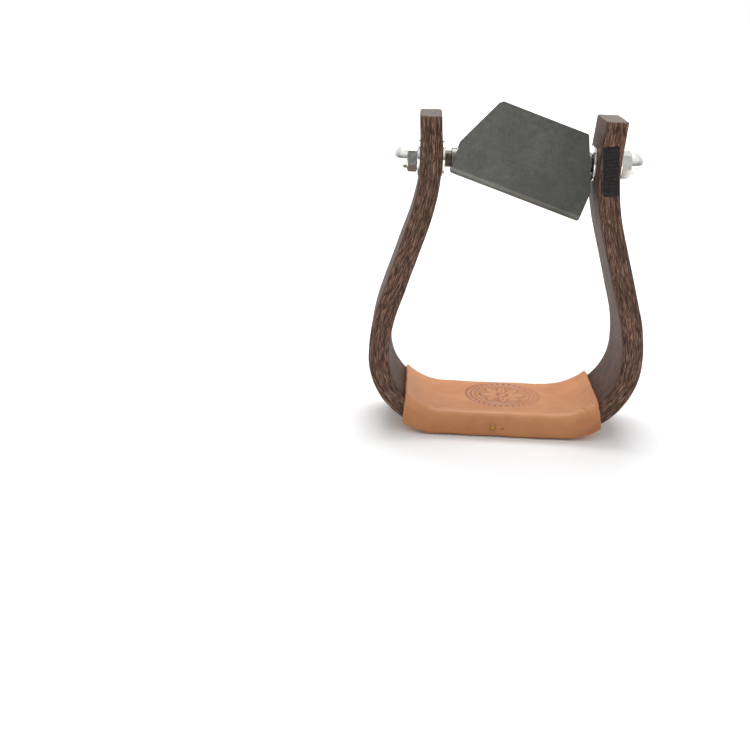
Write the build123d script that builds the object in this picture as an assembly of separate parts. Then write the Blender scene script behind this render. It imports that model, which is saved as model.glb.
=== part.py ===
from build123d import *
import os
from math import atan, cos, degrees, radians, sin

# A western bell stirrup: a bow bent from four glued wooden plies, a leather covered tread,
# and a steel turner sleeve that swings on a bolt through the two horns of the bow.
# +X runs along the bolt, +Z up from the tread to the horns, and Y through the bow.
# The origin is the middle of the tread's underside, where the stirrup rests.

# Driving dimensions, in millimetres and degrees ----------------------------------------------

# The bow, along the middle of its thickness
bow_thickness = 12.7
ply_names = ["inner_ply", "mid_inner_ply", "mid_outer_ply", "outer_ply"]
tread_flat = 70.4
corner_radius = 42.4
flank_radius = 101.5
flank_lean = 17.8
flank_length = 52.2
neck_radius = 125.9
horn_lean = 3.8
horn_length = 17.5
bow_height = 194.2
bow_depth_at_floor = 50.8
horn_depth = 33.2
edge_radius = 2.2

# The leather cover
leather_thickness = 1.8
cover_half_length = 62.5

# The brass tacks that hold the cover
tack_head_diameter = 3.0
tack_head_height = 0.7
tack_shank_diameter = 1.2
tack_shank_length = 4.0
tack_point_length = 2.4
tack_point_radius = 0.1
front_tack_x = -4.2
front_tack_sink = 0.4
lap_tack_spacing = 24.0
lap_tack_count = 3
lap_tack_sink = 0.8

# The bolt, its cap nuts and its washers
bolt_diameter = 9.525
bolt_height = 168.2
bolt_length = 133.0
bolt_chamfer = 0.8
bolt_hole_diameter = 10.0
seat_outside = 57.2
seat_inside = 44.6
seat_clearance = 0.4
washer_diameter = 20.6
washer_hole = 10.4
washer_thickness = 1.6
washer_rim_bevel = 0.25
washer_end_play = 0.3
nut_across_flats = 14.3
nut_hex_height = 6.0
nut_bevel_across = 0.66
nut_bevel_along = 1.06
nut_dome_radius = 6.7
nut_dome_height = 8.2
nut_bore_depth = 8.6
left_nut_turn = 21.6
right_nut_turn = 12.0

# The turner sleeve: a tube on the bolt, and a bent plate welded to it
tube_diameter = 12.7
tube_bore = 9.7
tube_end_bevel = 0.4
tube_left_end = -39.2
tube_right_end = 42.2
vent_hole_diameter = 1.6
vent_hole_x = -33.0
sheet_thickness = 1.5
flap_gap = 15.0
flap_width = 80.8
flap_height = 47.7
flap_cut_along = 13.9
flap_cut_down = 29.4
flap_corner_radius = 1.5
bend_radius = 3.5
plate_slant = 18.5
bend_middle_x = -1.6
bend_drop = 20.4
plate_tilt = 8.0
weld_gap = 0.05
weld_radius = 2.0
weld_end_radius = 1.2
weld_length = 9.0
weld_crook_offset = 3.6
weld_crook_depth = 1.2
weld_left_x = -31.7
weld_right_x = 33.2

# The recess of the burnt-in maker's panel, on the front edge of the right horn
panel_width = 9.2
panel_height = 28.0
panel_depth = 0.4
panel_corner_radius = 1.0
panel_middle_x = 51.2
panel_middle_z = 167.0
panel_lean = 6.5

# Worked out from the driving dimensions ------------------------------------------------------

half_bow = bow_thickness / 2
half_flat = tread_flat / 2
middle_height = leather_thickness + half_bow
corner_centre = (half_flat, middle_height + corner_radius)
flank_centre = (half_flat + corner_radius - flank_radius, corner_centre[1])
flank_end = (
    flank_centre[0] + flank_radius * cos(radians(flank_lean)) - flank_length * sin(radians(flank_lean)),
    flank_centre[1] + flank_radius * sin(radians(flank_lean)) + flank_length * cos(radians(flank_lean)),
)
neck_centre = (
    flank_end[0] + neck_radius * cos(radians(flank_lean)),
    flank_end[1] + neck_radius * sin(radians(flank_lean)),
)
depth_slope = (bow_depth_at_floor - horn_depth) / 2 / bow_height
far = 200.0
bolt_axis = Axis((0, 0, bolt_height), (1, 0, 0))
stood = (Align.CENTER, Align.CENTER, Align.MIN)
hung = (Align.CENTER, Align.CENTER, Align.MAX)


def half_depth(height):
    """Half of the wood's depth at a height above the floor."""
    return bow_depth_at_floor / 2 - depth_slope * height


def side_of_bow(offset):
    """The right half of the bow's line at a distance outside its middle, to just past the horn."""
    corner = CenterArc(corner_centre, corner_radius + offset, -90, 90)
    shoulder = CenterArc(flank_centre, flank_radius + offset, 0, flank_lean)
    flank = PolarLine(shoulder @ 1, flank_length, 90 + flank_lean)
    neck = CenterArc(neck_centre, neck_radius - offset, 180 + flank_lean, -(flank_lean + horn_lean))
    horn = PolarLine(neck @ 1, horn_length, 90 - horn_lean)
    return [corner, shoulder, flank, neck, horn]


def bow_band(inner_offset, outer_offset):
    """The bow's outline between two distances from its middle, run through the whole depth."""
    inner_side = side_of_bow(inner_offset)
    outer_side = side_of_bow(outer_offset)
    horn_end = Line(inner_side[-1] @ 1, outer_side[-1] @ 1)
    right = inner_side + outer_side + [horn_end]
    left = [edge.mirror(Plane.YZ) for edge in right]
    treads = [
        Line((-half_flat, middle_height - offset), (half_flat, middle_height - offset))
        for offset in (inner_offset, outer_offset)
    ]
    outline = Plane.XZ * make_face([*treads, *right, *left])
    return extrude(outline, amount=bow_depth_at_floor, both=True)


def taper(extra):
    """The two sloping planes that narrow the bow's depth from the tread up to the horns."""
    bottom = -bow_thickness
    top = bow_height + bow_thickness
    low = half_depth(bottom) + extra
    high = half_depth(top) + extra
    section = Polygon((-low, bottom), (low, bottom), (high, top), (-high, top), align=None)
    return extrude(Plane.YZ * section, amount=far, both=True)


def along_bolt(shape, middle_x):
    """A shape made round the Z axis, turned to lie round the bolt, its middle at a place along it."""
    return Location((middle_x, 0, bolt_height)) * (Rotation(0, 90, 0) * shape)


def long_edges(bow):
    """The edges that run along the bow, without the ones through its depth and across its horns."""
    along = bow.edges().filter_by(Axis.Y, reverse=True)
    return [edge for edge in along if (edge @ 0.5).Z < bow_height]


def make_bow():
    """The wooden bow, tapered, its edges rounded, its horns cut level, bored and faced for the bolt."""
    bow = bow_band(-half_bow, half_bow) & taper(0)
    bow = fillet(long_edges(bow), edge_radius)
    bow -= Pos(0, 0, bow_height) * Box(far, far, far, align=stood)
    seat_radius = washer_diameter / 2 + seat_clearance
    bow -= along_bolt(Cylinder(bolt_hole_diameter / 2, far), 0)
    bow -= along_bolt(Cylinder(seat_radius, 2 * seat_inside), 0)
    for side in (-1, 1):
        bow -= along_bolt(Cylinder(seat_radius, far), side * (seat_outside + far / 2))
    return bow - panel_recess()


def panel_recess():
    """The shallow pocket that the hot stamp leaves in the front edge of the right horn."""
    pocket = Box(panel_width, 2 * panel_depth, panel_height)
    pocket = fillet(pocket.edges().filter_by(Axis.Y), panel_corner_radius)
    lean_back = -degrees(atan(depth_slope))
    turned = Rotation(lean_back, 0, 0) * (Rotation(0, -panel_lean, 0) * pocket)
    return Pos(panel_middle_x, -half_depth(panel_middle_z), panel_middle_z) * turned


def make_plies(bow):
    """The bow split into its glued layers, from the foot side to the outside."""
    ply = bow_thickness / len(ply_names)
    return {
        name: bow & bow_band(-half_bow + ply * layer, -half_bow + ply * (layer + 1))
        for layer, name in enumerate(ply_names)
    }


def make_cover(bow):
    """The leather wrapped round the tread, open at both ends where the bow leaves it."""
    skin = bow_band(-half_bow - leather_thickness, half_bow + leather_thickness)
    skin &= taper(leather_thickness)
    skin = fillet(long_edges(skin), edge_radius + leather_thickness)
    inside_radius = corner_radius - half_bow - leather_thickness
    outside_radius = corner_radius + half_bow + leather_thickness
    wrap = cover_half_length - half_flat
    inside_end = CenterArc(corner_centre, inside_radius, -90, degrees(wrap / inside_radius)) @ 1
    outside_end = CenterArc(corner_centre, outside_radius, -90, degrees(wrap / outside_radius)) @ 1
    upper = inside_end + (inside_end - outside_end)
    lower = outside_end - (inside_end - outside_end)
    cut = Polygon(
        (lower.X, lower.Y),
        (upper.X, upper.Y),
        (-upper.X, upper.Y),
        (-lower.X, lower.Y),
        align=None,
    )
    return (skin & extrude(Plane.XZ * cut, amount=bow_depth_at_floor, both=True)) - bow


def tack():
    """One brass tack, the rim of its domed head on Z = 0 and its shank pointing down -Z."""
    straight = tack_shank_length - tack_point_length
    shank = Cylinder(tack_shank_diameter / 2, straight, align=hung)
    point = Cone(tack_point_radius, tack_shank_diameter / 2, tack_point_length, align=hung)
    head_radius = tack_head_diameter / 2
    ball_radius = (head_radius**2 + tack_head_height**2) / (2 * tack_head_height)
    ball = Pos(0, 0, tack_head_height - ball_radius) * Sphere(ball_radius)
    head = ball & Cylinder(tack_head_diameter, ball_radius, align=stood)
    return shank + Pos(0, 0, -straight) * point + head


def tack_places():
    """Where the tacks go: one in the front edge, and a row along the lap underneath."""
    front_z = leather_thickness + bow_thickness * 3 / 8
    front_y = front_tack_sink - half_depth(front_z) - leather_thickness
    front = Location((front_tack_x, front_y, front_z), (90, 0, 0))
    first = -lap_tack_spacing * (lap_tack_count - 1) / 2
    lap = [
        Location((first + number * lap_tack_spacing, 0, lap_tack_sink), (180, 0, 0))
        for number in range(lap_tack_count)
    ]
    return [front, *lap]


def make_tacks():
    """All the tacks, as separate solids of one group."""
    return Compound(children=[place * tack() for place in tack_places()])


def tack_clearances():
    """What the tacks push out of the leather and the wood: each tack, and the dimple over its head."""
    dimple = extrude(Circle(tack_head_diameter / 2), amount=2 * leather_thickness)
    return [place * shape for place in tack_places() for shape in (tack(), dimple)]


def make_washer(middle_x):
    """A flat washer, its rim slightly bevelled."""
    disc = Cylinder(washer_diameter / 2, washer_thickness)
    disc = chamfer(disc.edges().filter_by(GeomType.CIRCLE), washer_rim_bevel)
    ring = disc - Cylinder(washer_hole / 2, washer_thickness)
    return along_bolt(ring, middle_x)


def make_bolt():
    """The plain stud that goes through both horns."""
    stud = Cylinder(bolt_diameter / 2, bolt_length)
    stud = chamfer(stud.edges().filter_by(GeomType.CIRCLE), bolt_chamfer)
    return along_bolt(stud, 0)


def make_cap_nut(side, turn):
    """A domed cap nut, its flat base on the outer washer."""
    corner = nut_across_flats / 2 / cos(radians(30))
    hexagon = extrude(RegularPolygon(corner, 6, rotation=30), amount=nut_hex_height)
    trim = Cylinder(corner, nut_hex_height, align=stood)
    trim = chamfer(trim.edges().filter_by(GeomType.CIRCLE), nut_bevel_across, nut_bevel_along)
    straight = nut_dome_height - nut_dome_radius
    dome = Cylinder(nut_dome_radius, straight, align=stood)
    upper_half = Box(far, far, far, align=stood)
    dome += Pos(0, 0, straight) * (Sphere(nut_dome_radius) & upper_half)
    nut = (hexagon & trim) + Location((0, 0, nut_hex_height)) * dome
    nut -= Cylinder(bolt_diameter / 2, nut_bore_depth, align=stood)
    base = side * (seat_outside + washer_thickness)
    towards = Rotation(0, 90 * side, 0)
    return Location((base, 0, bolt_height)) * (Rotation(turn, 0, 0) * (towards * nut))


def make_tube():
    """The sleeve's tube, with a small vent hole near its left end."""
    length = tube_right_end - tube_left_end
    tube = Cylinder(tube_diameter / 2, length)
    tube = chamfer(tube.edges().filter_by(GeomType.CIRCLE), tube_end_bevel)
    tube -= Cylinder(tube_bore / 2, length)
    tube = along_bolt(tube, (tube_left_end + tube_right_end) / 2)
    drill = Cylinder(vent_hole_diameter / 2, tube_diameter / 2)
    return tube - Pos(vent_hole_x, 0, bolt_height + tube_diameter / 2) * drill


def flap_plane_y():
    """The front face of the front flap: the tube lies just behind that flap."""
    return -(tube_diameter / 2 + weld_gap + sheet_thickness)


def make_plate():
    """The turner: a sheet bent to a U, its flaps upwards, its bend slanting down to the right."""
    front = flap_plane_y()
    back = front + flap_gap + 2 * sheet_thickness
    middle = (front + back) / 2
    outside = flap_gap + 2 * sheet_thickness
    outer_section = Plane.YZ * Pos(0, flap_height / 2) * Rectangle(outside, flap_height)
    outer = extrude(outer_section, amount=flap_width, both=True)
    outer = fillet(outer.edges().filter_by(Axis.X).group_by(Axis.Z)[0], bend_radius)
    inner_section = Plane.YZ * Pos(0, sheet_thickness + flap_height) * Rectangle(flap_gap, 2 * flap_height)
    inner = extrude(inner_section, amount=flap_width, both=True)
    inner = fillet(inner.edges().filter_by(Axis.X).group_by(Axis.Z)[0], bend_radius - sheet_thickness)
    half = flap_width / 2
    outline = Polygon(
        (-half, 0),
        (half, 0),
        (half, flap_height - flap_cut_down),
        (half - flap_cut_along, flap_height),
        (-half + flap_cut_along, flap_height),
        (-half, flap_height - flap_cut_down),
        align=None,
    )
    outline = fillet(outline.vertices(), flap_corner_radius)
    blank = extrude(Plane.XZ * outline, amount=far, both=True)
    plate = (outer - inner) & blank
    return Pos(bend_middle_x, middle, bolt_height - bend_drop) * (Rotation(0, plate_slant, 0) * plate)


def tilted(shape):
    """A piece of the sleeve, leant back on the bolt to where the sleeve hangs at rest."""
    return shape.rotate(bolt_axis, -plate_tilt)


def make_welds(tube, plate):
    """Short weld beads that fill the crook between the tube and the front flap."""
    crook = -(tube_diameter / 2 + weld_gap)
    beads = []
    for x in (weld_left_x, weld_right_x):
        for side in (-1, 1):
            core = Cylinder(weld_radius, weld_length)
            core = fillet(core.edges().filter_by(GeomType.CIRCLE), weld_end_radius)
            bead = Pos(0, crook + weld_crook_depth, side * weld_crook_offset) * along_bolt(core, x)
            beads += (bead - tube - plate).solids().sort_by(SortBy.VOLUME)[-1:]
    return Compound(children=[tilted(bead) for bead in beads])


bow = make_bow()
cover = make_cover(bow)
plies = make_plies(bow)
for clearance in tack_clearances():
    cover -= clearance
    plies = {name: ply - clearance for name, ply in plies.items()}

tube = make_tube()
plate = make_plate()
inside_middle = seat_inside - washer_end_play - washer_thickness / 2
outside_middle = seat_outside + washer_thickness / 2

parts = {
    **plies,
    "tread_cover": cover,
    "cover_tacks": make_tacks(),
    "cross_bolt": make_bolt(),
    "left_cap_nut": make_cap_nut(-1, left_nut_turn),
    "right_cap_nut": make_cap_nut(1, right_nut_turn),
    "left_outer_washer": make_washer(-outside_middle),
    "right_outer_washer": make_washer(outside_middle),
    "left_inner_washer": make_washer(-inside_middle),
    "right_inner_washer": make_washer(inside_middle),
    "pivot_tube": tilted(tube),
    "turner_plate": tilted(plate),
    "sleeve_welds": make_welds(tube, plate),
}

os.makedirs("parts", exist_ok=True)
for name, shape in parts.items():
    export_step(shape, f"parts/{name}.step")
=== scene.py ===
from math import ceil, cos, pi, radians, sin, tan

import bmesh
import bpy
import numpy as np
from mathutils import Matrix, Vector, noise


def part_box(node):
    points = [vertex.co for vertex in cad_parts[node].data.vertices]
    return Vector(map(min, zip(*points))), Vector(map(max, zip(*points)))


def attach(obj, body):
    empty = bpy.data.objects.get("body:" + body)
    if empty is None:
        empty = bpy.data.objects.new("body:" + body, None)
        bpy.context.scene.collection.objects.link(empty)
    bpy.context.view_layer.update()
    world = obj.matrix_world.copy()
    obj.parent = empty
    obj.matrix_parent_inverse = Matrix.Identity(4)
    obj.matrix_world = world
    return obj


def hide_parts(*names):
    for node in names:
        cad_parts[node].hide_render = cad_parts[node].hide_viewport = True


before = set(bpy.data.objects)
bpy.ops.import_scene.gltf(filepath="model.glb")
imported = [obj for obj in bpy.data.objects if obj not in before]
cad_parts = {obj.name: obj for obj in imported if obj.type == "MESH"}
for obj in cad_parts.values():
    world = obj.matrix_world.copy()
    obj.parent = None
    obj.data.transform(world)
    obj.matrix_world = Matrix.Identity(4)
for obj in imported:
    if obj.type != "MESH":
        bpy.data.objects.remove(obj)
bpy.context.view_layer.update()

# ---- The bow's plies -----------------------------------------------------------------------
# Four layers of open-pored wood, bent round one form, glued face to face, sanded along the
# edges and stained dark walnut. Each is made as the straight board it was and then bent along
# the bow's line, so the grain runs round the bow as it does in a bent lamination.

MM = 0.001
ply_names = ("inner_ply", "mid_inner_ply", "mid_outer_ply", "outer_ply")
ply_thickness = 3.175 * MM
half_bow = ply_thickness * len(ply_names) / 2
bow_middle_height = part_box("outer_ply")[0][2] + half_bow
horn_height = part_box("outer_ply")[1][2]
tread_flat = 70.4 * MM
corner_radius = 42.4 * MM
shoulder_radius = 101.5 * MM
flank_lean = radians(17.8)
flank_length = 52.2 * MM
neck_radius = 125.9 * MM
horn_lean = radians(3.8)
depth_at_floor = 50.8 * MM
depth_at_horn = 33.2 * MM
sanded_radius = 2.2 * MM
depth_slope = (depth_at_floor - depth_at_horn) / 2 / horn_height
line_step = 0.5 * MM
grain_repeats = (90.0, 750.0, 750.0)    # in a metre of board: along it, through its depth, out
panel_width, panel_height, panel_depth = 9.2 * MM, 28.0 * MM, 0.4 * MM
panel_corner = 1.0 * MM
panel_x, panel_z, panel_lean = 51.2 * MM, 167.0 * MM, radians(6.5)


def bow_line_points():
    """The line along the middle of the bow's thickness, from the left horn round to the right."""
    point = np.array((tread_flat / 2, bow_middle_height))
    heading = 0.0
    half = [point]
    for length, turn in (
        (corner_radius * pi / 2, pi / 2),
        (shoulder_radius * flank_lean, flank_lean),
        (flank_length, 0.0),
        (neck_radius * (flank_lean + horn_lean), -flank_lean - horn_lean),
        (None, 0.0),
    ):
        if length is None:
            length = (horn_height - point[1]) / cos(horn_lean)
        steps = ceil(length / line_step)
        for _ in range(steps):
            heading += turn / steps / 2
            point = point + length / steps * np.array((cos(heading), sin(heading)))
            heading += turn / steps / 2
            half.append(point)
    right = [(x, 0.0, z) for x, z in half]
    return [(-x, 0.0, z) for x, _, z in reversed(right)] + right


bow_points = np.array(bow_line_points())
bow_runs = np.linalg.norm(np.diff(bow_points, axis=0), axis=1)
bow_lengths = np.concatenate(([0.0], np.cumsum(bow_runs)))
bow_length = bow_lengths[-1]


def poly_curve(name, points):
    """A curve of straight runs through the points."""
    data = bpy.data.curves.new(name, "CURVE")
    data.dimensions = "3D"
    spline = data.splines.new("POLY")
    spline.points.add(len(points) - 1)
    for spot, place in zip(spline.points, points):
        spot.co = (*place, 1.0)
    curve = bpy.data.objects.new(name, data)
    bpy.context.scene.collection.objects.link(curve)
    return curve


def new_object(name, vertices, faces):
    """A mesh object at the origin, its place in its vertices."""
    mesh = bpy.data.meshes.new(name)
    mesh.from_pydata([tuple(v) for v in vertices], [], faces)
    piece = bpy.data.objects.new(name, mesh)
    bpy.context.scene.collection.objects.link(piece)
    return piece


def outward(piece):
    """Turns every face of a closed mesh to point out."""
    shape = bmesh.new()
    shape.from_mesh(piece.data)
    bmesh.ops.recalc_face_normals(shape, faces=shape.faces)
    shape.to_mesh(piece.data)
    shape.free()


def evenly(start, end, step):
    """Numbers from start up to but without end, a step or a little less apart."""
    return np.linspace(start, end, max(1, ceil(abs(end - start) / step)), endpoint=False)


def ply_outline(layer):
    """The outline of a ply's end as (depth, offset) points, the bow's corners sanded round."""
    inner = -half_bow + layer * ply_thickness
    outer = inner + ply_thickness
    half = depth_at_floor / 2
    fine, coarse = 0.8 * MM, 2.6 * MM
    inside = sanded_radius if layer == 0 else 0.0
    outside = sanded_radius if layer == len(ply_names) - 1 else 0.0
    quarter = np.linspace(0, pi / 2, 6)

    def corner(side, way, face, radius, leaves_face):
        """A round corner's points, from a face to an edge or from an edge to a face."""
        angles = quarter if leaves_face else pi / 2 - quarter
        if radius == 0:
            angles = quarter[:1]
        middle_y = side * (half - radius)
        middle_n = face - way * radius
        return [(middle_y + side * radius * sin(a), middle_n + way * radius * cos(a)) for a in angles]

    outline = corner(1, 1, outer, outside, True)
    outline += [(half, n) for n in evenly(outer - outside, inner + inside, fine)[1:]]
    outline += corner(1, -1, inner, inside, False)
    face_step = fine if layer == 0 else coarse
    outline += [(y, inner) for y in evenly(half - inside, inside - half, face_step)[1:]]
    outline += corner(-1, -1, inner, inside, True)
    outline += [(-half, n) for n in evenly(inner + inside, outer - outside, fine)[1:]]
    outline += corner(-1, 1, outer, outside, False)
    face_step = fine if layer == len(ply_names) - 1 else coarse
    outline += [(y, outer) for y in evenly(outside - half, half - outside, face_step)[1:]]
    return np.array(outline)


def tube_faces(rings, count, capped=True):
    """The faces of a tube of rings of count points each, with or without its two ends."""
    faces = [
        (ring * count + k, ring * count + (k + 1) % count,
         (ring + 1) * count + (k + 1) % count, (ring + 1) * count + k)
        for ring in range(rings - 1) for k in range(count)
    ]
    if capped:
        faces.append(tuple(reversed(range(count))))
        faces.append(tuple(range((rings - 1) * count, rings * count)))
    return faces


def straight_board(name, layer):
    """A ply before it is bent: X along it, Y through the bow's depth, Z out from the foot side."""
    outline = ply_outline(layer)
    worn_end = 0.5 * MM
    station_step = 0.9 * MM
    middle = outline.mean(axis=0)
    inner = evenly(worn_end, bow_length - worn_end, station_step)
    places = np.concatenate(([0.0], inner, [bow_length - worn_end, bow_length]))
    rings = []
    for along in places:
        inset = worn_end if along in (0.0, bow_length) else 0.0
        section = outline - np.sign(outline - middle) * np.array((inset, 0.0))
        if layer == 0:
            section[:, 1] = np.maximum(section[:, 1], outline[:, 1].min() + inset)
        if layer == len(ply_names) - 1:
            section[:, 1] = np.minimum(section[:, 1], outline[:, 1].max() - inset)
        level_cut = section[:, 1] * tan(horn_lean) * (2 * along / bow_length - 1)
        rings.append(np.column_stack((along + level_cut, section)))
    board = new_object(name, np.concatenate(rings), tube_faces(len(rings), len(outline)))
    outward(board)
    return board


def add(tree, kind, links=(), **settings):
    """Adds a node with its settings; links are (this node's input, another node's output)."""
    node = tree.nodes.new(kind)
    for key, value in settings.items():
        if key.startswith("in_"):
            slot = key[3:]
            node.inputs[int(slot) if slot.isdigit() else slot.replace("_", " ")].default_value = value
        else:
            setattr(node, key, value)
    for name, output in links:
        tree.links.new(output, node.inputs[name])
    return node


def new_tree(name, inputs):
    """A geometry tree with a Geometry in and out, and named inputs."""
    tree = bpy.data.node_groups.new(name, "GeometryNodeTree")
    tree.interface.new_socket("Geometry", in_out="OUTPUT", socket_type="NodeSocketGeometry")
    tree.interface.new_socket("Geometry", in_out="INPUT", socket_type="NodeSocketGeometry")
    for label, kind in inputs:
        tree.interface.new_socket(label, in_out="INPUT", socket_type=f"NodeSocket{kind}")
    return tree


def keep_evaluated(piece):
    """Makes a piece's evaluated shape its plain mesh."""
    graph = bpy.context.evaluated_depsgraph_get()
    made = bpy.data.meshes.new_from_object(piece.evaluated_get(graph))
    piece.modifiers.clear()
    old, piece.data = piece.data, made
    bpy.data.meshes.remove(old)
    made.name = piece.name


def run_tree(piece, tree, **values):
    """Puts a piece through a tree and keeps the result as its plain mesh."""
    modifier = piece.modifiers.new("shape", "NODES")
    modifier.node_group = tree
    for item in tree.interface.items_tree:
        if item.in_out == "INPUT" and item.name.replace(" ", "_") in values:
            modifier[item.identifier] = values[item.name.replace(" ", "_")]
    keep_evaluated(piece)


def smooth(piece, degrees=35):
    """Shades a piece smooth, but for edges sharper than the angle."""
    piece.data.shade_smooth()
    piece.data.set_sharp_from_angle(angle=radians(degrees))


bend = new_tree(
    "bend_along_bow",
    [
        ("Bow Line", "Object"),
        ("Depth Slope", "Float"),
        ("Full Half Depth", "Float"),
        ("Waver", "Float"),
        ("Grain Depth", "Float"),
        ("Material", "Material"),
    ],
)
given = add(bend, "NodeGroupInput").outputs
flat_place = add(bend, "GeometryNodeInputPosition").outputs[0]
apart = add(bend, "ShaderNodeSeparateXYZ", [(0, flat_place)]).outputs
grain_place = add(
    bend, "ShaderNodeVectorMath", [(0, flat_place)], operation="MULTIPLY", in_1=grain_repeats
)
grain = add(
    bend, "ShaderNodeTexNoise", [("Vector", grain_place.outputs[0])],
    in_Scale=1.0, in_Detail=2.0, in_Roughness=0.6,
)
grain_middle = add(bend, "ShaderNodeMath", [(0, grain.outputs["Fac"])], operation="SUBTRACT", in_1=0.5)
grain_rise = add(
    bend, "ShaderNodeMath", [(0, grain_middle.outputs[0]), (1, given["Grain Depth"])], operation="MULTIPLY"
)
flat_normal = add(bend, "GeometryNodeInputNormal").outputs[0]
grain_step = add(
    bend, "ShaderNodeVectorMath", [(0, flat_normal), ("Scale", grain_rise.outputs[0])], operation="SCALE"
)
grained = add(
    bend, "GeometryNodeSetPosition", [("Geometry", given["Geometry"]), ("Offset", grain_step.outputs[0])]
)
line = add(bend, "GeometryNodeObjectInfo", [("Object", given["Bow Line"])])
sampled = add(
    bend, "GeometryNodeSampleCurve",
    [("Curves", line.outputs["Geometry"]), ("Length", apart["X"])],
    mode="LENGTH", use_all_curves=True,
)
out_normal = add(
    bend, "ShaderNodeVectorMath", [(1, sampled.outputs["Tangent"])],
    operation="CROSS_PRODUCT", in_0=(0.0, 1.0, 0.0),
)
out_unit = add(bend, "ShaderNodeVectorMath", [(0, out_normal.outputs[0])], operation="NORMALIZE")
out_step = add(
    bend, "ShaderNodeVectorMath", [(0, out_unit.outputs[0]), ("Scale", apart["Z"])], operation="SCALE"
)
line_end = add(bend, "GeometryNodeCurveLength", [(0, line.outputs["Geometry"])])
past_end = add(
    bend, "ShaderNodeMath", [(0, apart["X"]), (1, line_end.outputs[0])], operation="SUBTRACT"
)
over_right = add(bend, "ShaderNodeMath", [(0, past_end.outputs[0])], operation="MAXIMUM", in_1=0.0)
over_left = add(bend, "ShaderNodeMath", [(0, apart["X"])], operation="MINIMUM", in_1=0.0)
overrun = add(
    bend, "ShaderNodeMath", [(0, over_right.outputs[0]), (1, over_left.outputs[0])], operation="ADD"
)
straight_on = add(
    bend, "ShaderNodeVectorMath", [(0, sampled.outputs["Tangent"]), ("Scale", overrun.outputs[0])],
    operation="SCALE",
)
line_place = add(
    bend, "ShaderNodeVectorMath", [(0, sampled.outputs["Position"]), (1, straight_on.outputs[0])],
    operation="ADD",
)
on_line = add(
    bend, "ShaderNodeVectorMath", [(0, line_place.outputs[0]), (1, out_step.outputs[0])], operation="ADD"
)
height = add(bend, "ShaderNodeSeparateXYZ", [(0, on_line.outputs[0])]).outputs["Z"]
narrower = add(bend, "ShaderNodeMath", [(0, height), (1, given["Depth Slope"])], operation="MULTIPLY")
side = add(bend, "ShaderNodeMath", [(0, apart["Y"]), (1, given["Full Half Depth"])], operation="DIVIDE")
side_held = add(bend, "ShaderNodeClamp", [("Value", side.outputs[0])], in_Min=-1.0, in_Max=1.0)
pull = add(
    bend, "ShaderNodeMath", [(0, narrower.outputs[0]), (1, side_held.outputs[0])], operation="MULTIPLY"
)
depth = add(bend, "ShaderNodeMath", [(0, apart["Y"]), (1, pull.outputs[0])], operation="SUBTRACT")
depth_vector = add(bend, "ShaderNodeCombineXYZ", [("Y", depth.outputs[0])])
bent_place = add(
    bend, "ShaderNodeVectorMath", [(0, on_line.outputs[0]), (1, depth_vector.outputs[0])], operation="ADD"
)
drift = add(
    bend, "ShaderNodeTexNoise", [("Vector", bent_place.outputs[0])], in_Scale=70.0, in_Detail=1.0
)
drift_middle = add(
    bend, "ShaderNodeVectorMath", [(0, drift.outputs["Color"])], operation="SUBTRACT", in_1=(0.5, 0.5, 0.5)
)
drift_step = add(
    bend, "ShaderNodeVectorMath", [(0, drift_middle.outputs[0]), ("Scale", given["Waver"])],
    operation="SCALE",
)
moved = add(
    bend, "GeometryNodeSetPosition",
    [
        ("Geometry", grained.outputs["Geometry"]),
        ("Position", bent_place.outputs[0]),
        ("Offset", drift_step.outputs[0]),
    ],
)
real = add(bend, "GeometryNodeRealizeInstances", [(0, moved.outputs["Geometry"])])
coated = add(
    bend, "GeometryNodeSetMaterial", [("Geometry", real.outputs[0]), ("Material", given["Material"])]
)
add(bend, "NodeGroupOutput", [(0, coated.outputs[0])])


def closed_cylinder(name, start_x, end_x, radius, axis_height, around=64):
    """A closed cylinder round the bolt's line."""
    turns = np.linspace(0, 2 * pi, around, endpoint=False)
    rings = [
        np.column_stack((np.full(around, x), radius * np.cos(turns), axis_height + radius * np.sin(turns)))
        for x in (start_x, end_x)
    ]
    cutter = new_object(name, np.concatenate(rings), tube_faces(2, around))
    outward(cutter)
    return cutter


def cut_away(piece, cutters):
    """Cuts closed shapes out of a piece."""
    for cutter in cutters:
        modifier = piece.modifiers.new(cutter.name, "BOOLEAN")
        modifier.operation = "DIFFERENCE"
        modifier.solver = "EXACT"
        modifier.object = cutter
    keep_evaluated(piece)


def remember_board(piece):
    """Writes each point's place in the straight board: along it, through its depth, out from the foot."""
    count = len(piece.data.vertices)
    places = np.empty(count * 3)
    piece.data.vertices.foreach_get("co", places)
    places = places.reshape(-1, 3)
    tangents = np.gradient(bow_points, axis=0)
    tangents /= np.linalg.norm(tangents, axis=1)[:, None]
    board = np.empty((count, 3))
    for start in range(0, count, 2000):
        part = places[start : start + 2000]
        away = part[:, None, ::2] - bow_points[None, :, ::2]
        near = np.argmin((away**2).sum(axis=2), axis=1)
        step = part - bow_points[near]
        tangent = tangents[near]
        along = step[:, 0] * tangent[:, 0] + step[:, 2] * tangent[:, 2]
        out = step[:, 0] * tangent[:, 2] - step[:, 2] * tangent[:, 0]
        board[start : start + 2000] = np.column_stack((bow_lengths[near] + along, part[:, 1], out))
    layer = piece.data.attributes.new("board", "FLOAT_VECTOR", "POINT")
    layer.data.foreach_set("vector", board.ravel())


def linear(hex_colour):
    """An sRGB hex colour as linear RGBA."""
    parts = [int(hex_colour[k : k + 2], 16) / 255 for k in (1, 3, 5)]
    return (*[c / 12.92 if c <= 0.04045 else ((c + 0.055) / 1.055) ** 2.4 for c in parts], 1.0)


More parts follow.
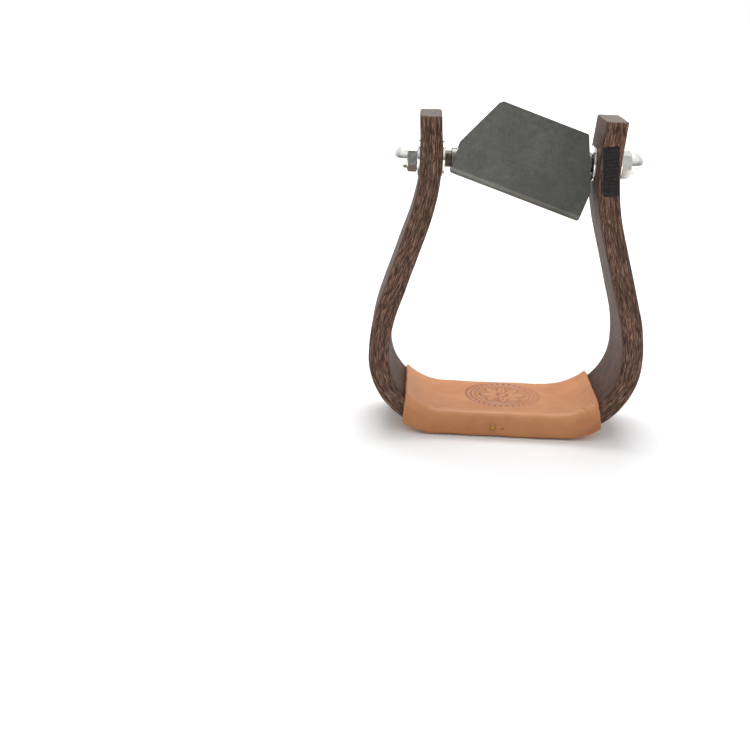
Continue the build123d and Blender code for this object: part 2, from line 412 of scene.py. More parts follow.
def new_material(name, metallic=0.0, roughness=0.5, **sockets):
    """A material and its shader; the settings go on the shader's own sockets."""
    material = bpy.data.materials.new(name)
    material.use_nodes = True
    tree = material.node_tree
    shader = tree.nodes["Principled BSDF"]
    shader.inputs["Metallic"].default_value = metallic
    shader.inputs["Roughness"].default_value = roughness
    for label, value in sockets.items():
        shader.inputs[label.replace("_", " ")].default_value = value
    return material, tree, shader


def ramp(tree, value, stops):
    """A colour ramp with its stops as (position, colour)."""
    node = add(tree, "ShaderNodeValToRGB", [("Fac", value)])
    elements = node.color_ramp.elements
    while len(elements) < len(stops):
        elements.new(0.5)
    for element, (position, colour) in zip(elements, stops):
        element.position = position
        element.color = linear(colour) if isinstance(colour, str) else (colour, colour, colour, 1.0)
    return node.outputs["Color"]


def blended(tree, kind, amount, first, second):
    """Mixes two colours; amount is a number or an output."""
    node = add(tree, "ShaderNodeMix", data_type="RGBA", blend_type=kind)
    for place, value in ((0, amount), (6, first), (7, second)):
        if isinstance(value, str):
            node.inputs[place].default_value = linear(value)
        elif isinstance(value, float):
            node.inputs[place].default_value = value
        else:
            tree.links.new(value, node.inputs[place])
    return node.outputs[2]


def pattern(tree, place, per_mm, shift=(0.0, 0.0, 0.0), detail=2.0, rough=0.5):
    """Noise over a place in metres, with per_mm repeats in a millimetre along each axis."""
    scaled = add(
        tree, "ShaderNodeMapping", [("Vector", place)],
        in_Scale=tuple(1000 * k for k in per_mm), in_Location=shift,
    )
    return add(
        tree, "ShaderNodeTexNoise", [("Vector", scaled.outputs[0])],
        in_Scale=1.0, in_Detail=detail, in_Roughness=rough,
    ).outputs["Fac"]


def stained_wood(name, shift, ply_middle):
    """Open-pored hardwood, bent, sanded and stained dark walnut: short pale and dark flecks along
    the grain on the sawn edges, calmer on the faces, dark glue lines, dull grey end grain on the horns."""
    glue_line = 0.28 * MM
    material, tree, shader = new_material(name, roughness=0.58, Specular_IOR_Level=0.25)
    board = add(tree, "ShaderNodeAttribute", attribute_name="board").outputs["Vector"]
    flecks = pattern(tree, board, (0.17, 2.0, 2.0), shift, 5.0, 0.62)
    streaks = pattern(tree, board, (0.018, 0.35, 0.45), shift, 3.0, 0.55)
    pores = pattern(tree, board, (0.11, 2.4, 2.4), shift, 2.0, 0.6)
    clouds = pattern(tree, board, (0.03, 0.05, 0.12), shift, 2.0, 0.5)
    edge_tones = [(0.34, "#2A1C15"), (0.46, "#5E4536"), (0.57, "#927361"), (0.68, "#C4A58E")]
    edge_wood = ramp(tree, flecks, edge_tones)
    face_wood = ramp(tree, flecks, [(0.3, "#432F27"), (0.5, "#62493D"), (0.7, "#7D6456")])
    normal = add(tree, "ShaderNodeNewGeometry").outputs["Normal"]
    normal_y = add(tree, "ShaderNodeSeparateXYZ", [(0, normal)]).outputs["Y"]
    towards_y = add(tree, "ShaderNodeMath", [(0, normal_y)], operation="ABSOLUTE").outputs[0]
    on_edge = ramp(tree, towards_y, [(0.35, 0.0), (0.8, 1.0)])
    ground = blended(tree, "MIX", on_edge, face_wood, edge_wood)
    tint = ramp(tree, streaks, [(0.34, "#A29388"), (0.5, "#E2D2CA"), (0.64, "#F0CBBE")])
    tinted = blended(tree, "MULTIPLY", 0.6, ground, tint)
    shade = ramp(tree, clouds, [(0.3, 0.6), (0.7, 1.0)])
    shaded = blended(tree, "MULTIPLY", 0.6, tinted, shade)
    pore_dark = ramp(tree, pores, [(0.32, 0.85), (0.41, 0.0)])
    pored = blended(tree, "MIX", pore_dark, shaded, "#261912")
    place = add(tree, "ShaderNodeTexCoord").outputs["Object"]
    height = add(tree, "ShaderNodeSeparateXYZ", [(0, place)]).outputs["Z"]
    end_start = horn_height - 0.35 * MM
    at_end = add(
        tree, "ShaderNodeMapRange", [("Value", height)],
        in_From_Min=end_start, in_From_Max=horn_height - 0.1 * MM,
    ).outputs[0]
    rings = pattern(tree, board, (0.0, 0.55, 1.3), shift, 3.0, 0.5)
    end_wood = ramp(tree, rings, [(0.3, "#594E47"), (0.5, "#756A61"), (0.68, "#8C827A")])
    # The end grain darkens from the right horn towards the left one.
    along_bolt = add(tree, "ShaderNodeSeparateXYZ", [(0, place)]).outputs["X"]
    left_horn_darker = add(
        tree, "ShaderNodeMapRange", [("Value", along_bolt)],
        in_From_Min=-seat_outside, in_From_Max=seat_outside, in_To_Min=0.78, in_To_Max=1.0,
    ).outputs[0]
    end_grain_toned = blended(tree, "MULTIPLY", 1.0, end_wood, left_horn_darker)
    board_out = add(tree, "ShaderNodeSeparateXYZ", [(0, board)]).outputs["Z"]
    from_middle = add(
        tree, "ShaderNodeMath", [(0, board_out)], operation="SUBTRACT", in_1=ply_middle
    ).outputs[0]
    off_middle = add(tree, "ShaderNodeMath", [(0, from_middle)], operation="ABSOLUTE").outputs[0]
    glue = add(
        tree, "ShaderNodeMapRange", [("Value", off_middle)],
        in_From_Min=ply_thickness / 2 - glue_line, in_From_Max=ply_thickness / 2,
        in_To_Min=0.0, in_To_Max=0.8,
    ).outputs[0]
    glue_shown = add(tree, "ShaderNodeMath", [(0, glue), (1, on_edge)], operation="MULTIPLY").outputs[0]
    glued = blended(tree, "MIX", glue_shown, pored, "#2A1B14")
    finished = blended(tree, "MIX", at_end, glued, end_grain_toned)
    tree.links.new(finished, shader.inputs["Base Color"])
    low_pores = ramp(tree, pores, [(0.33, 0.0), (0.48, 1.0)])
    grain_height = blended(tree, "MULTIPLY", 0.6, low_pores, flecks)
    relief = add(
        tree, "ShaderNodeBump", [("Height", grain_height)], in_Strength=0.7, in_Distance=0.35 * MM
    ).outputs[0]
    tree.links.new(relief, shader.inputs["Normal"])
    return material


def panel_frame():
    """Turns the panel's own X across, Y up and Z out into its place on the horn."""
    out_of_wood = -depth_at_floor / 2 + depth_slope * panel_z
    lean_back = Matrix.Rotation(-np.arctan(depth_slope), 4, "X")
    lean_in = Matrix.Rotation(-panel_lean, 4, "Y")
    stand = Matrix.Rotation(pi / 2, 4, "X")
    return Matrix.Translation((panel_x, out_of_wood, panel_z)) @ lean_back @ lean_in @ stand


def rounded_slab(name, width, height, bottom, top, corner, step):
    """A closed slab with round corners and a grid of points on its top."""
    quarter = np.linspace(0, pi / 2, 5)
    spots = [
        (sx * (width / 2 - corner) + corner * cos(a), sy * (height / 2 - corner) + corner * sin(a))
        for sx, sy, turn in ((1, 1, 0), (-1, 1, 1), (-1, -1, 2), (1, -1, 3))
        for a in quarter + turn * pi / 2
    ]
    count = len(spots)
    vertices = [(x, y, bottom) for x, y in spots] + [(x, y, top - 0.1 * MM) for x, y in spots]
    vertices += [(x * (1 - 0.2 * MM / width), y * (1 - 0.2 * MM / height), top) for x, y in spots]
    slab = new_object(name, vertices, tube_faces(3, count))
    outward(slab)
    shape = bmesh.new()
    shape.from_mesh(slab.data)
    for axis, size in ((0, width), (1, height)):
        normal = Vector((axis == 0, axis == 1, 0))
        for cut in evenly(-size / 2 + step, size / 2, step):
            everything = shape.verts[:] + shape.edges[:] + shape.faces[:]
            bmesh.ops.bisect_plane(shape, geom=everything, plane_co=normal * cut, plane_no=normal)
    shape.to_mesh(slab.data)
    shape.free()
    return slab


bolt_height = (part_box("cross_bolt")[0][2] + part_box("cross_bolt")[1][2]) / 2
seat_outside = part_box("right_outer_washer")[0][0]
seat_inside = seat_outside - half_bow * 2 + 0.1 * MM
seat_radius = (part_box("right_outer_washer")[1][2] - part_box("right_outer_washer")[0][2]) / 2 + 0.4 * MM
hole_radius = 5.0 * MM
outside_reach = 0.1
cutters = [
    closed_cylinder("bolt_hole", -outside_reach, outside_reach, hole_radius, bolt_height),
    closed_cylinder("inside_seats", -seat_inside, seat_inside, seat_radius, bolt_height),
    closed_cylinder("right_seat", seat_outside, outside_reach, seat_radius, bolt_height),
    closed_cylinder("left_seat", -outside_reach, -seat_outside, seat_radius, bolt_height),
]
burnt_recess = rounded_slab(
    "burnt_recess", panel_width, panel_height, -panel_depth, 1.5 * MM, panel_corner, panel_width)
burnt_recess.data.transform(panel_frame())
cutters.append(burnt_recess)
bow_line = poly_curve("bow_line", bow_points)
for layer, node in enumerate(ply_names):
    board = straight_board(f"bent_{node}", layer)
    shift = (7.3 * layer, 3.1 * layer, 11.9 * layer)
    ply_middle = -half_bow + ply_thickness * (layer + 0.5)
    wood = stained_wood(f"walnut_stained_ply_{layer + 1}", shift, ply_middle)
    run_tree(
        board, bend,
        Bow_Line=bow_line, Depth_Slope=depth_slope, Full_Half_Depth=depth_at_floor / 2 - sanded_radius,
        Waver=0.35 * MM, Grain_Depth=0.35 * MM, Material=wood,
    )
    cut_away(board, cutters)
    remember_board(board)
    smooth(board)
    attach(board, "bow")
    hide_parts(node)
for cutter in cutters:
    bpy.data.objects.remove(cutter)

# ---- The tread cover -----------------------------------------------------------------------
# One piece of vegetable-tanned leather, wetted, pulled round the tread and lapped underneath,
# where three brass tacks close it. A round stamp was pressed into the top before it was fitted.

leather = 1.8 * MM
cover_half_length = 62.5 * MM
cover_depth = depth_at_floor / 2 + leather
cover_reach = half_bow + leather
cover_radius = sanded_radius + leather
lower_radius = leather + 0.2 * MM
lap_edge_y = 6.5 * MM
lap_depth = 0.75 * MM
stamp_middle = (3.2 * MM, 3.0 * MM)
stamp_half = (24.6 * MM, 19.6 * MM)
stamp_depth = 0.5 * MM
front_tack = (-4.2 * MM, 1.59 * MM)
lap_tacks = (-24 * MM, 0.0, 24 * MM)


def cover_outline():
    """The wrap's outline as rows of (depth, offset, normal depth, normal offset), from lap to lap."""
    y, n = cover_depth - cover_radius, cover_reach - cover_radius
    low_y, low_n = cover_depth - lower_radius, cover_reach - lower_radius
    rows = []

    def run(start, end, normal, step):
        for share in evenly(0.0, 1.0, step / max(abs(end[0] - start[0]), abs(end[1] - start[1]))):
            rows.append((
                start[0] + share * (end[0] - start[0]), start[1] + share * (end[1] - start[1]), *normal))

    def turn(middle, first, r):
        for angle in np.linspace(first, first - pi / 2, 9, endpoint=False):
            rows.append((middle[0] + r * cos(angle), middle[1] + r * sin(angle), cos(angle), sin(angle)))

    run((lap_edge_y, cover_reach), (low_y, cover_reach), (0, 1), 1.2 * MM)
    turn((low_y, low_n), pi / 2, lower_radius)
    run((cover_depth, low_n), (cover_depth, -n), (1, 0), 0.7 * MM)
    turn((y, -n), 0, cover_radius)
    run((y, -cover_reach), (-y, -cover_reach), (0, -1), 0.42 * MM)
    turn((-y, -n), -pi / 2, cover_radius)
    run((-cover_depth, -n), (-cover_depth, low_n), (-1, 0), 0.6 * MM)
    turn((-low_y, low_n), -pi, lower_radius)
    run((-low_y, cover_reach), (lap_edge_y - 0.3 * MM, cover_reach), (0, 1), 1.2 * MM)
    rows.append((lap_edge_y - 0.15 * MM, cover_reach, 0, 1))
    return np.array(rows)


def noise_field(*parts):
    """Smooth noise from -1 to 1 over arrays of places, each already divided by its feature size."""
    shape = np.broadcast_shapes(*[np.shape(p) for p in parts])
    grids = [np.broadcast_to(p, shape).ravel() for p in parts]
    return np.array([noise.noise(spot) for spot in zip(*grids)]).reshape(shape)


def eased(value, start, end):
    """0 before start, 1 after end, smooth between."""
    share = np.clip((value - start) / (end - start), 0, 1)
    return share * share * (3 - 2 * share)


def pressed_medallion(x, y):
    """The stamp's depth from 0 to 1: a ring of pearls, a line, and a rosette of eight petals."""
    across = (x - stamp_middle[0]) / stamp_half[0]
    up = (y - stamp_middle[1]) / stamp_half[1]
    radius = np.hypot(across, up)
    angle = np.arctan2(up, across)
    pearls, petals = 36, 8
    ring_middle, ring_half = 0.9, 0.085
    in_ring = 1 - eased(np.abs(radius - ring_middle), ring_half * 0.8, ring_half * 1.25)
    from_pearl = (angle / (2 * pi) * pearls + 0.5) % 1 - 0.5
    pearl = np.hypot(from_pearl * 2 * pi / pearls * ring_middle, radius - ring_middle) / (ring_half * 0.85)
    raised = np.sqrt(np.clip(1 - pearl**2, 0, 1))
    line = 1 - eased(np.abs(radius - 0.73), 0.012, 0.04)
    petal_edge = 0.6 * (0.3 + 0.7 * np.abs(np.cos(angle * petals / 2)) ** 0.7)
    outline = 1 - eased(np.abs(radius - petal_edge), 0.015, 0.055)
    vein = (1 - eased(np.abs(np.sin(angle * petals / 2)) * radius, 0.015, 0.06)) * (
        eased(radius, 0.17, 0.2) * (1 - eased(radius, 0.4, 0.5)))
    eye = 1 - eased(np.abs(radius - 0.13), 0.015, 0.05)
    ground = eased(radius, petal_edge, petal_edge + 0.05) * (1 - eased(radius, 0.66, 0.7)) * 0.45
    fading = 0.55 + 0.45 * (1 - eased(across, 0.1, 0.9))
    return fading * np.clip(np.maximum.reduce(
        [in_ring * (1 - raised), line * 0.8, outline, vein * 0.7, eye, ground]), 0, 1)


def make_cover():
    """The leather as it lies on the straight bow, closed, with its thickness and all its relief."""
    rows = cover_outline()
    count = len(rows)
    y, n, ny, nn = (rows[:, k][None, :] for k in range(4))
    fine, plain = 0.42 * MM, 0.75 * MM
    left_end, right_end = -cover_half_length, cover_half_length
    stations = np.concatenate((
        [left_end],
        evenly(left_end + 0.4 * MM, -23 * MM, plain),
        evenly(-23 * MM, 30 * MM, fine),
        evenly(30 * MM, right_end - 0.4 * MM, plain),
        [right_end - 0.4 * MM, right_end],
    ))
    lam = stations[:, None]
    top = (nn < -0.9) * 1.0
    under = (nn > 0.9) * 1.0
    front = (ny < -0.9) * 1.0
    share = (n / cover_reach + 1) / 2
    stretch = 1 + eased(lam, 0, right_end) * 0.045 * share
    ragged = 0.35 * MM * noise_field(y / (3 * MM), n / (3 * MM), 0.5) * np.sign(lam)
    length = lam * stretch + ragged * eased(np.abs(lam), cover_half_length * 0.9, cover_half_length)
    past = np.maximum(np.abs(length) - tread_flat / 2, 0)
    along = np.sign(length) * (
        np.minimum(np.abs(length), tread_flat / 2) + past * corner_radius / (corner_radius + n))

    uneven = 0.3 * MM * noise_field(lam / (24 * MM), y / (20 * MM), n / (9 * MM))
    uneven = uneven + 0.12 * MM * noise_field(lam / (8 * MM), y / (7 * MM), n / (5 * MM) + 3.0)
    foot_side = eased(-n, -cover_reach * 0.2, cover_reach)
    bridging = foot_side * (
        1.7 * MM * eased(lam, 22 * MM, 58 * MM) * (0.8 + 0.35 * y / cover_depth)
        + 0.5 * MM * eased(-lam, 30 * MM, 60 * MM))
    ridge_y, ridge_n = -cover_depth + 1.2 * MM, -cover_reach + 1.2 * MM
    from_ridge = np.hypot(y - ridge_y, n - ridge_n)
    ridge = 0.45 * MM * np.exp(-((from_ridge / (2.6 * MM)) ** 2)) * (
        1 + 0.5 * noise_field(lam / (11 * MM), 0.0, 7.0))
    crease_zone = np.exp(-((from_ridge / (4 * MM)) ** 2)) * (
        eased(lam, 47 * MM, 51 * MM) * (1 - eased(lam, 60 * MM, 62 * MM)))
    creases = -1.3 * MM * crease_zone * np.abs(noise_field(lam / (1.7 * MM), y / (3 * MM), n / (3 * MM)))
    slack = 0.7 * MM * (ny < -0.5) * eased(n, -0.3 * cover_reach, 0.8 * cover_reach) * (
        0.75 + 0.5 * noise_field(lam / (19 * MM), 2.0, 6.0))
    stamp = top * pressed_medallion(lam, y)
    sunk = np.zeros(np.broadcast_shapes(lam.shape, y.shape))
    for x, height, where, deep in [(front_tack[0], front_tack[1], front, 0.5 * MM)] + [
            (x, None, under, 0.95 * MM) for x in lap_tacks]:
        reach = np.hypot(lam - x, (n - height) if height is not None else y)
        sunk = sunk + where * deep * (1 - eased(reach, 1.6 * MM, 3.0 * MM))
    nail_mark = front * (1 - eased(np.hypot(lam - 2.0 * MM, n - 1.9 * MM), 0.3 * MM, 0.9 * MM))
    nick = top * (1 - eased(np.abs(lam + 40.3 * MM), 1.0 * MM, 2.6 * MM)) * (
        1 - eased(np.abs(y + cover_depth - cover_radius - 0.5 * MM), 0.15 * MM, 0.55 * MM))
    lap = under * lap_depth * (1 - eased(y - lap_edge_y, 0, 12 * MM)) * (y >= lap_edge_y)
    ends = 0.35 * MM * (np.abs(lam) >= cover_half_length - 0.01 * MM)

    coarse_lift = uneven * (1 - under * 0.9) + bridging + slack - under * 0.3 * MM
    lift = coarse_lift + ridge + creases - stamp * stamp_depth - sunk - lap - ends
    lift = lift - 0.25 * MM * nail_mark - 0.9 * MM * nick
    lift = np.where(under > 0, np.minimum(lift, 0), lift)
    front_low = (y < 0) * eased(-y, cover_depth - 13 * MM, cover_depth - lower_radius)
    rise = (0.9 * MM + 0.5 * MM * noise_field(lam / (22 * MM), 8.0, 2.0)) * front_low
    rise = rise * eased(n, 0.35 * cover_reach, cover_reach) * (1 - eased(np.abs(lam), 34 * MM, 50 * MM))
    under_limit = np.maximum(n + lift * nn - cover_reach, 0) + rise
    outer = np.stack((along + bow_length / 2, y + lift * ny, n + lift * nn - under_limit), axis=2)
    back = coarse_lift - leather + 0.05 * MM
    inner_all = np.stack((along + bow_length / 2, y + back * ny, n + back * nn - rise), axis=2)
    inner_rings = np.unique(np.linspace(0, len(stations) - 1, 40).astype(int))[::-1]
    inner = inner_all[inner_rings]

    vertices = np.concatenate((outer.reshape(-1, 3), inner.reshape(-1, 3)))
    rings = len(stations) + len(inner_rings)
    faces = tube_faces(rings, count, capped=False)
    last = (rings - 1) * count
    faces += [(last + k, last + (k + 1) % count, (k + 1) % count, k) for k in range(count)]
    cover = new_object("leather_tread_cover", vertices, faces)
    # Darker on the lower half of the front face towards the right end.
    low_front_right_darkening = front * 0.35 * eased(lam, 38 * MM, 56 * MM) * eased(n, 0, 6 * MM)
    # Painted shade in the dimples round the tacks, deepest where the leather is sunk most.
    tack_dimple_painted_shade = np.clip(sunk / MM, 0, 1) * 0.5
    lap_line = under * (1 - eased(np.abs(y - lap_edge_y), 0.3 * MM, 0.8 * MM)) * 0.8
    # The darker places: the stamp, the small mark on the front and the lap line are the leather's own
    # marks; the dark in the nick and round the tacks is painted shade.
    dark = np.clip(0.75 * stamp + nick + nail_mark + low_front_right_darkening + tack_dimple_painted_shade + lap_line, 0, 1)
    dark = np.broadcast_to(dark, outer.shape[:2]).ravel()
    pressed = cover.data.attributes.new("pressed", "FLOAT", "POINT")
    pressed.data.foreach_set("value", np.concatenate((dark, np.zeros(len(inner_rings) * count))))
    # Paler along the front ridge: partly burnish where the leather is drawn tight over the edge, partly a
    # painted highlight standing in for the ridge's gloss.
    pale = 0.6 * np.exp(-((from_ridge / (2.4 * MM)) ** 2))
    pale = pale * (0.8 + 0.4 * noise_field(lam / (9 * MM), 4.0, 1.0))
    pale = np.broadcast_to(pale, outer.shape[:2]).ravel()
    stretched = cover.data.attributes.new("stretched", "FLOAT", "POINT")
    stretched.data.foreach_set("value", np.concatenate((pale, np.zeros(len(inner_rings) * count))))
    raw = np.zeros(len(vertices))
    raw[len(dark):] = 1.0
    raw_edge = cover.data.attributes.new("raw_edge", "FLOAT", "POINT")
    raw_edge.data.foreach_set("value", raw)
    outward(cover)
    return cover


def tanned_leather():
    """Undyed vegetable-tanned cowhide, smooth side out, oiled: warm tan with soft clouds, paler along
    the front ridge (partly burnish, partly a painted highlight), darker in the stamp and a few marks
    and low on the front towards the right end, with painted shade in the nick and round the tacks,
    a fine pebble that only catches the light along the ridge."""
    material, tree, shader = new_material(
        "vegetable_tanned_leather", roughness=0.42, Specular_IOR_Level=0.5)
    place = add(tree, "ShaderNodeTexCoord").outputs["Object"]
    clouds = pattern(tree, place, (0.035, 0.05, 0.06), detail=4.0)
    blush = pattern(tree, place, (0.12, 0.12, 0.12), (5.0, 1.0, 3.0), 3.0)
    pebble = pattern(tree, place, (1.9, 1.9, 1.9), detail=3.0, rough=0.6)
    hide = ramp(tree, clouds, [(0.3, "#B97746"), (0.5, "#C1804E"), (0.7, "#C88857")])
    blushes = ramp(tree, blush, [(0.35, "#E9D2C4"), (0.65, "#FFFFFF")])
    warmed = blended(tree, "MULTIPLY", 0.35, hide, blushes)
    # The paler ridge is partly burnish and partly a painted highlight.
    stretched = add(tree, "ShaderNodeAttribute", attribute_name="stretched").outputs["Fac"]
    paled = blended(tree, "MIX", stretched, warmed, "#E0A074")
    # Darkens the leather's own marks and lays painted shade in the nick and round the tacks.
    pressed = add(tree, "ShaderNodeAttribute", attribute_name="pressed").outputs["Fac"]
    marked_and_shaded = blended(tree, "MIX", pressed, paled, "#74432A")
    raw_edge = add(tree, "ShaderNodeAttribute", attribute_name="raw_edge").outputs["Fac"]
    edged = blended(tree, "MIX", raw_edge, marked_and_shaded, "#7A4C30")
    tree.links.new(edged, shader.inputs["Base Color"])
    gloss = ramp(tree, clouds, [(0.3, 0.36), (0.7, 0.48)])
    tree.links.new(gloss, shader.inputs["Roughness"])
    relief = add(tree, "ShaderNodeBump", [("Height", pebble)], in_Strength=0.25, in_Distance=0.15 * MM)
    tree.links.new(relief.outputs[0], shader.inputs["Normal"])
    return material


cover = make_cover()
run_tree(
    cover, bend,
    Bow_Line=bow_line, Depth_Slope=depth_slope, Full_Half_Depth=depth_at_floor / 2 - sanded_radius,
    Waver=0.0, Grain_Depth=0.0, Material=tanned_leather(),
)
smooth(cover, 60)
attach(cover, "bow")
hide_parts("tread_cover")

# ---- The burnt panel -----------------------------------------------------------------------
# A hot iron burnt a small panel into the front edge of the right horn: charred black wood, a
# little below the surface, with raised ribs where the iron was cut away.

rib_count = 13
rib_height = 1.15 * MM
ribbed_share = 0.93


ribs = new_tree(
    "rib_panel",
    [
        ("Rib", "Object"),
        ("Count", "Int"),
        ("Spacing", "Float"),
        ("Wander", "Float"),
        ("Char Depth", "Float"),
        ("Seed", "Int"),
        ("Material", "Material"),
    ],
)
given = add(ribs, "NodeGroupInput").outputs
rib_shape = add(ribs, "GeometryNodeObjectInfo", [("Object", given["Rib"])]).outputs["Geometry"]
last_rib = add(ribs, "ShaderNodeMath", [(0, given["Count"])], operation="SUBTRACT", in_1=1.0).outputs[0]
run_up = add(
    ribs, "ShaderNodeMath", [(0, last_rib), (1, given["Spacing"])], operation="MULTIPLY"
).outputs[0]
run_down = add(ribs, "ShaderNodeMath", [(0, run_up)], operation="MULTIPLY", in_1=-0.5).outputs[0]
first_place = add(ribs, "ShaderNodeCombineXYZ", [("Y", run_down)]).outputs[0]
next_step = add(ribs, "ShaderNodeCombineXYZ", [("Y", given["Spacing"])]).outputs[0]
rib_line = add(
    ribs, "GeometryNodeMeshLine",
    [("Count", given["Count"]), ("Start Location", first_place), ("Offset", next_step)],
).outputs[0]
turned = add(
    ribs, "FunctionNodeRandomValue", [("Seed", given["Seed"])],
    data_type="FLOAT_VECTOR", in_0=(0.0, 0.0, -1.0), in_1=(0.0, 0.0, 1.0),
).outputs[0]
wander = add(
    ribs, "ShaderNodeVectorMath", [(0, turned), ("Scale", given["Wander"])], operation="SCALE"
).outputs[0]
sized = add(
    ribs, "FunctionNodeRandomValue", [("Seed", given["Seed"])],
    data_type="FLOAT_VECTOR", in_0=(0.8, 0.8, 0.8), in_1=(1.0, 1.15, 1.0),
).outputs[0]
placed = add(
    ribs, "GeometryNodeInstanceOnPoints",
    [("Points", rib_line), ("Instance", rib_shape), ("Rotation", wander), ("Scale", sized)],
).outputs[0]
real_ribs = add(ribs, "GeometryNodeRealizeInstances", [(0, placed)]).outputs[0]
both = add(ribs, "GeometryNodeJoinGeometry")
ribs.links.new(given["Geometry"], both.inputs[0])
ribs.links.new(real_ribs, both.inputs[0])
crackle = add(ribs, "ShaderNodeTexNoise", in_Scale=900.0, in_Detail=3.0).outputs["Fac"]
crackle_middle = add(ribs, "ShaderNodeMath", [(0, crackle)], operation="SUBTRACT", in_1=0.5).outputs[0]
crackle_rise = add(
    ribs, "ShaderNodeMath", [(0, crackle_middle), (1, given["Char Depth"])], operation="MULTIPLY"
).outputs[0]
rise = add(ribs, "ShaderNodeCombineXYZ", [("Z", crackle_rise)]).outputs[0]
cracked = add(ribs, "GeometryNodeSetPosition", [("Geometry", both.outputs[0]), ("Offset", rise)]).outputs[0]
charred_ribs = add(
    ribs, "GeometryNodeSetMaterial", [("Geometry", cracked), ("Material", given["Material"])]
)
add(ribs, "NodeGroupOutput", [(0, charred_ribs.outputs[0])])


def charred_wood():
    """Wood burnt by a hot iron: matt brown-black with fine cracks, a little ashy on the high spots."""
    material, tree, shader = new_material("charred_wood", roughness=0.68, Specular_IOR_Level=0.35)
    place = add(tree, "ShaderNodeTexCoord").outputs["Object"]
    ash = pattern(tree, place, (1.4, 1.4, 0.5), detail=4.0, rough=0.65)
    char = ramp(tree, ash, [(0.35, "#141212"), (0.55, "#231F1E"), (0.72, "#3A3431")])
    tree.links.new(char, shader.inputs["Base Color"])
    relief = add(
        tree, "ShaderNodeBump", [("Height", ash)], in_Strength=0.6, in_Distance=0.2 * MM
    ).outputs[0]
    tree.links.new(relief, shader.inputs["Normal"])
    return material


rib = rounded_slab("rib", panel_width * 0.88, rib_height, -0.1 * MM, 0.4 * MM, 0.35 * MM, 1.2 * MM)
panel_gap = 0.04 * MM
burnt_panel = rounded_slab(
    "burnt_panel", panel_width - panel_gap, panel_height - panel_gap,
    -0.2 * MM, 0.12 * MM, panel_corner, 0.7 * MM,
)
run_tree(
    burnt_panel, ribs,
    Rib=rib, Count=rib_count, Spacing=panel_height * ribbed_share / rib_count, Wander=0.09,
    Char_Depth=0.16 * MM, Seed=4, Material=charred_wood(),
)
bpy.data.objects.remove(rib)
burnt_panel.data.transform(panel_frame() @ Matrix.Translation((0, 0, -panel_depth)))
smooth(burnt_panel, 50)
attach(burnt_panel, "bow")

# ---- The metal parts -----------------------------------------------------------------------
# Brass tacks, a zinc plated stud, bright nickel plated cap nuts and washers, and a turner of
# stainless tube and sheet with its mill finish, all as bought or as welded.


def plated_metal(name, light, dark, low_rough, high_rough, scuff_mm=2.0):
    """A plated or milled metal: its colour and gloss wander a little, as handled metal does."""
    material, tree, shader = new_material(name, metallic=1.0, roughness=low_rough)
    place = add(tree, "ShaderNodeTexCoord").outputs["Object"]
    scuffs = pattern(tree, place, (1 / scuff_mm,) * 3, detail=5.0, rough=0.6)
    tree.links.new(ramp(tree, scuffs, [(0.35, dark), (0.65, light)]), shader.inputs["Base Color"])
    tree.links.new(ramp(tree, scuffs, [(0.3, low_rough), (0.7, high_rough)]), shader.inputs["Roughness"])
    return material


def coat(node, material):
    """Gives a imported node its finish."""
    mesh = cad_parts[node].data
    mesh.materials.clear()
    mesh.materials.append(material)


coat("cover_tacks", plated_metal("turned_brass", "#E0BE6C", "#B08A3C", 0.25, 0.42))
coat("cross_bolt", plated_metal("zinc_plated_steel", "#625D54", "#3D3830", 0.32, 0.5))
nickel = plated_metal("bright_nickel_plate", "#F7F6F0", "#E4E3DC", 0.1, 0.22)
for node in (
    "left_cap_nut", "right_cap_nut", "left_outer_washer", "right_outer_washer",
    "left_inner_washer", "right_inner_washer",
):
    coat(node, nickel)


def mill_finished_steel():
    """Stainless sheet as it leaves the mill: a dull grey satin, cloudy, duller towards one low corner."""
    material, tree, shader = new_material("mill_finished_stainless", metallic=1.0, roughness=0.4)
    place = add(tree, "ShaderNodeTexCoord").outputs["Object"]
    clouds = pattern(tree, place, (0.05, 0.05, 0.05), detail=6.0, rough=0.65)
    mottle = pattern(tree, place, (0.5, 0.5, 0.5), (3.0, 2.0, 1.0), 5.0, 0.7)
    ground = ramp(tree, clouds, [(0.3, "#777772"), (0.5, "#82827D"), (0.7, "#8E8D88")])
    specks = ramp(tree, mottle, [(0.3, "#C8C8C4"), (0.7, "#FFFFFF")])
    mottled = blended(tree, "MULTIPLY", 0.5, ground, specks)
    apart = add(tree, "ShaderNodeSeparateXYZ", [(0, place)]).outputs
    across = add(
        tree, "ShaderNodeMath", [(0, apart["X"]), (1, apart["Z"])], operation="SUBTRACT"
    ).outputs[0]
    # The plate's colour darkens towards its low corner on the +X side.
    darker_to_low_corner = add(
        tree, "ShaderNodeMapRange", [("Value", across)],
        in_From_Min=-bolt_height - 50 * MM, in_From_Max=-bolt_height + 50 * MM,
        in_To_Min=1.0, in_To_Max=0.66,
    ).outputs[0]
    mottled = blended(tree, "MULTIPLY", 1.0, mottled, darker_to_low_corner)
    tree.links.new(mottled, shader.inputs["Base Color"])
    tree.links.new(ramp(tree, mottle, [(0.3, 0.34), (0.7, 0.46)]), shader.inputs["Roughness"])
    return material


steel = mill_finished_steel()
coat("pivot_tube", steel)
coat("turner_plate", steel)
coat("sleeve_welds", plated_metal("weld_metal", "#8A8880", "#4E4C48", 0.35, 0.6, 1.0))

# ---- The studio ----------------------------------------------------------------------------
# A white paper floor under a white room, bright above and behind and darker on the near side,
# with one soft light overhead, a little behind. None of it is part of the stirrup.


def area_light(name, place, aim, width, height, watts):
    """A soft rectangular light that faces a point."""
    data = bpy.data.lights.new(name, "AREA")
    data.shape = "RECTANGLE"
    data.size, data.size_y = width, height
    data.energy = watts
    lamp = bpy.data.objects.new(name, data)
    bpy.context.scene.collection.objects.link(lamp)
    lamp.location = place
    lamp.rotation_euler = (Vector(aim) - Vector(place)).to_track_quat("-Z", "Y").to_euler()
    return lamp


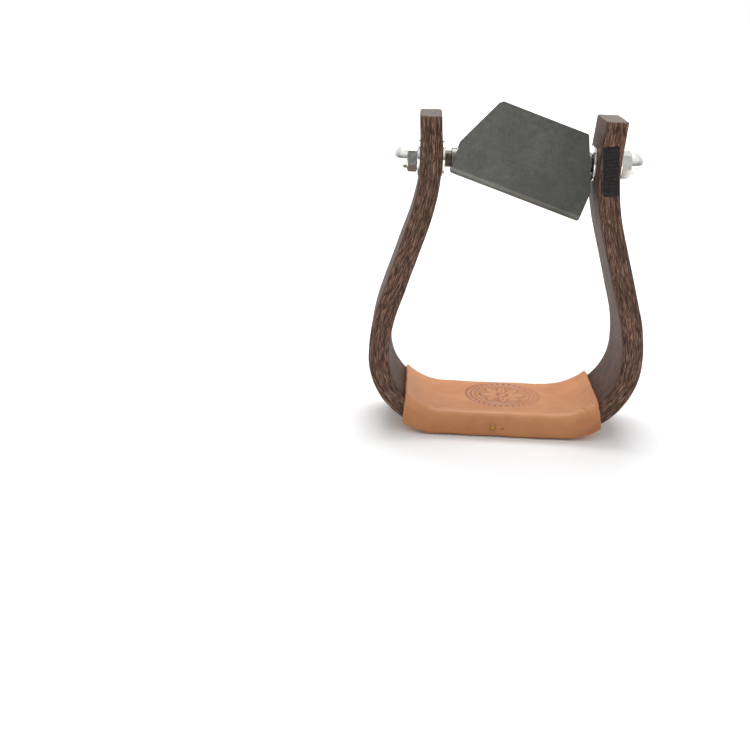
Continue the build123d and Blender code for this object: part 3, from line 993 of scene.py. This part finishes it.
floor_half = 8.0
paper_white = 0.93
floor = new_object(
    "floor",
    [(-floor_half, -floor_half, 0), (floor_half, -floor_half, 0),
     (floor_half, floor_half, 0), (-floor_half, floor_half, 0)],
    [(0, 1, 2, 3)],
)
paper, paper_tree, paper_shader = new_material("white_paper", roughness=0.9)
paper_shader.inputs["Base Color"].default_value = (paper_white, paper_white, paper_white, 1.0)
paper_place = add(paper_tree, "ShaderNodeTexCoord").outputs["Object"]
paper_distance = add(
    paper_tree, "ShaderNodeVectorMath", [(0, paper_place)], operation="LENGTH"
).outputs["Value"]
far_glow = add(
    paper_tree, "ShaderNodeMapRange", [("Value", paper_distance)],
    in_From_Min=0.25, in_From_Max=1.4, in_To_Min=0.0, in_To_Max=0.7,
).outputs[0]
paper_shader.inputs["Emission Color"].default_value = (1.0, 1.0, 1.0, 1.0)
paper_tree.links.new(far_glow, paper_shader.inputs["Emission Strength"])
floor.data.materials.append(paper)
area_light("overhead_softbox", (-0.08, 0.42, 1.28), (0, 0, 0.05), 0.9, 0.7, 12.0)

world = bpy.data.worlds.new("white_room")
world.use_nodes = True
bpy.context.scene.world = world
room = world.node_tree
background = room.nodes["Background"]
background.inputs["Color"].default_value = (1.0, 1.0, 1.0, 1.0)
direction = add(room, "ShaderNodeTexCoord").outputs["Generated"]
direction_parts = add(room, "ShaderNodeSeparateXYZ", [(0, direction)]).outputs
from_behind = add(
    room, "ShaderNodeMapRange", [("Value", direction_parts["Y"])],
    in_From_Min=-0.75, in_From_Max=0.35, in_To_Min=0.0, in_To_Max=0.85,
).outputs[0]
from_above = add(
    room, "ShaderNodeMapRange", [("Value", direction_parts["Z"])],
    in_From_Min=0.12, in_From_Max=0.75, in_To_Min=0.15, in_To_Max=0.95,
).outputs[0]
brightness = add(
    room, "ShaderNodeMath", [(0, from_behind), (1, from_above)], operation="MAXIMUM"
).outputs[0]
seen = add(room, "ShaderNodeLightPath").outputs["Is Camera Ray"]
shown = add(room, "ShaderNodeMath", [(0, brightness), (1, seen)], operation="MAXIMUM").outputs[0]
room.links.new(shown, background.inputs["Strength"])

# ---- The camera ----------------------------------------------------------------------------
# Eye height over a table, looking down a little on a stirrup that stands right of the middle.

camera_data = bpy.data.cameras.new("camera")
camera_data.sensor_width = 36.0
camera_data.lens = 43.44
camera = bpy.data.objects.new("camera", camera_data)
bpy.context.scene.collection.objects.link(camera)
camera_distance = 0.5438
camera_height = 0.26142
camera_round = radians(-5.885)
camera.location = (camera_distance * sin(camera_round), -camera_distance * cos(camera_round), camera_height)
look_down = radians(23.36)
look_left = radians(2.62)
camera_roll = radians(1.53)
camera.rotation_euler = (
    Matrix.Rotation(look_left, 3, "Z")
    @ Matrix.Rotation(pi / 2 - look_down, 3, "X")
    @ Matrix.Rotation(camera_roll, 3, "Z")
).to_euler()
bpy.context.scene.camera = camera
bpy.context.scene.view_settings.view_transform = "Standard"

bpy.data.objects.remove(bow_line)
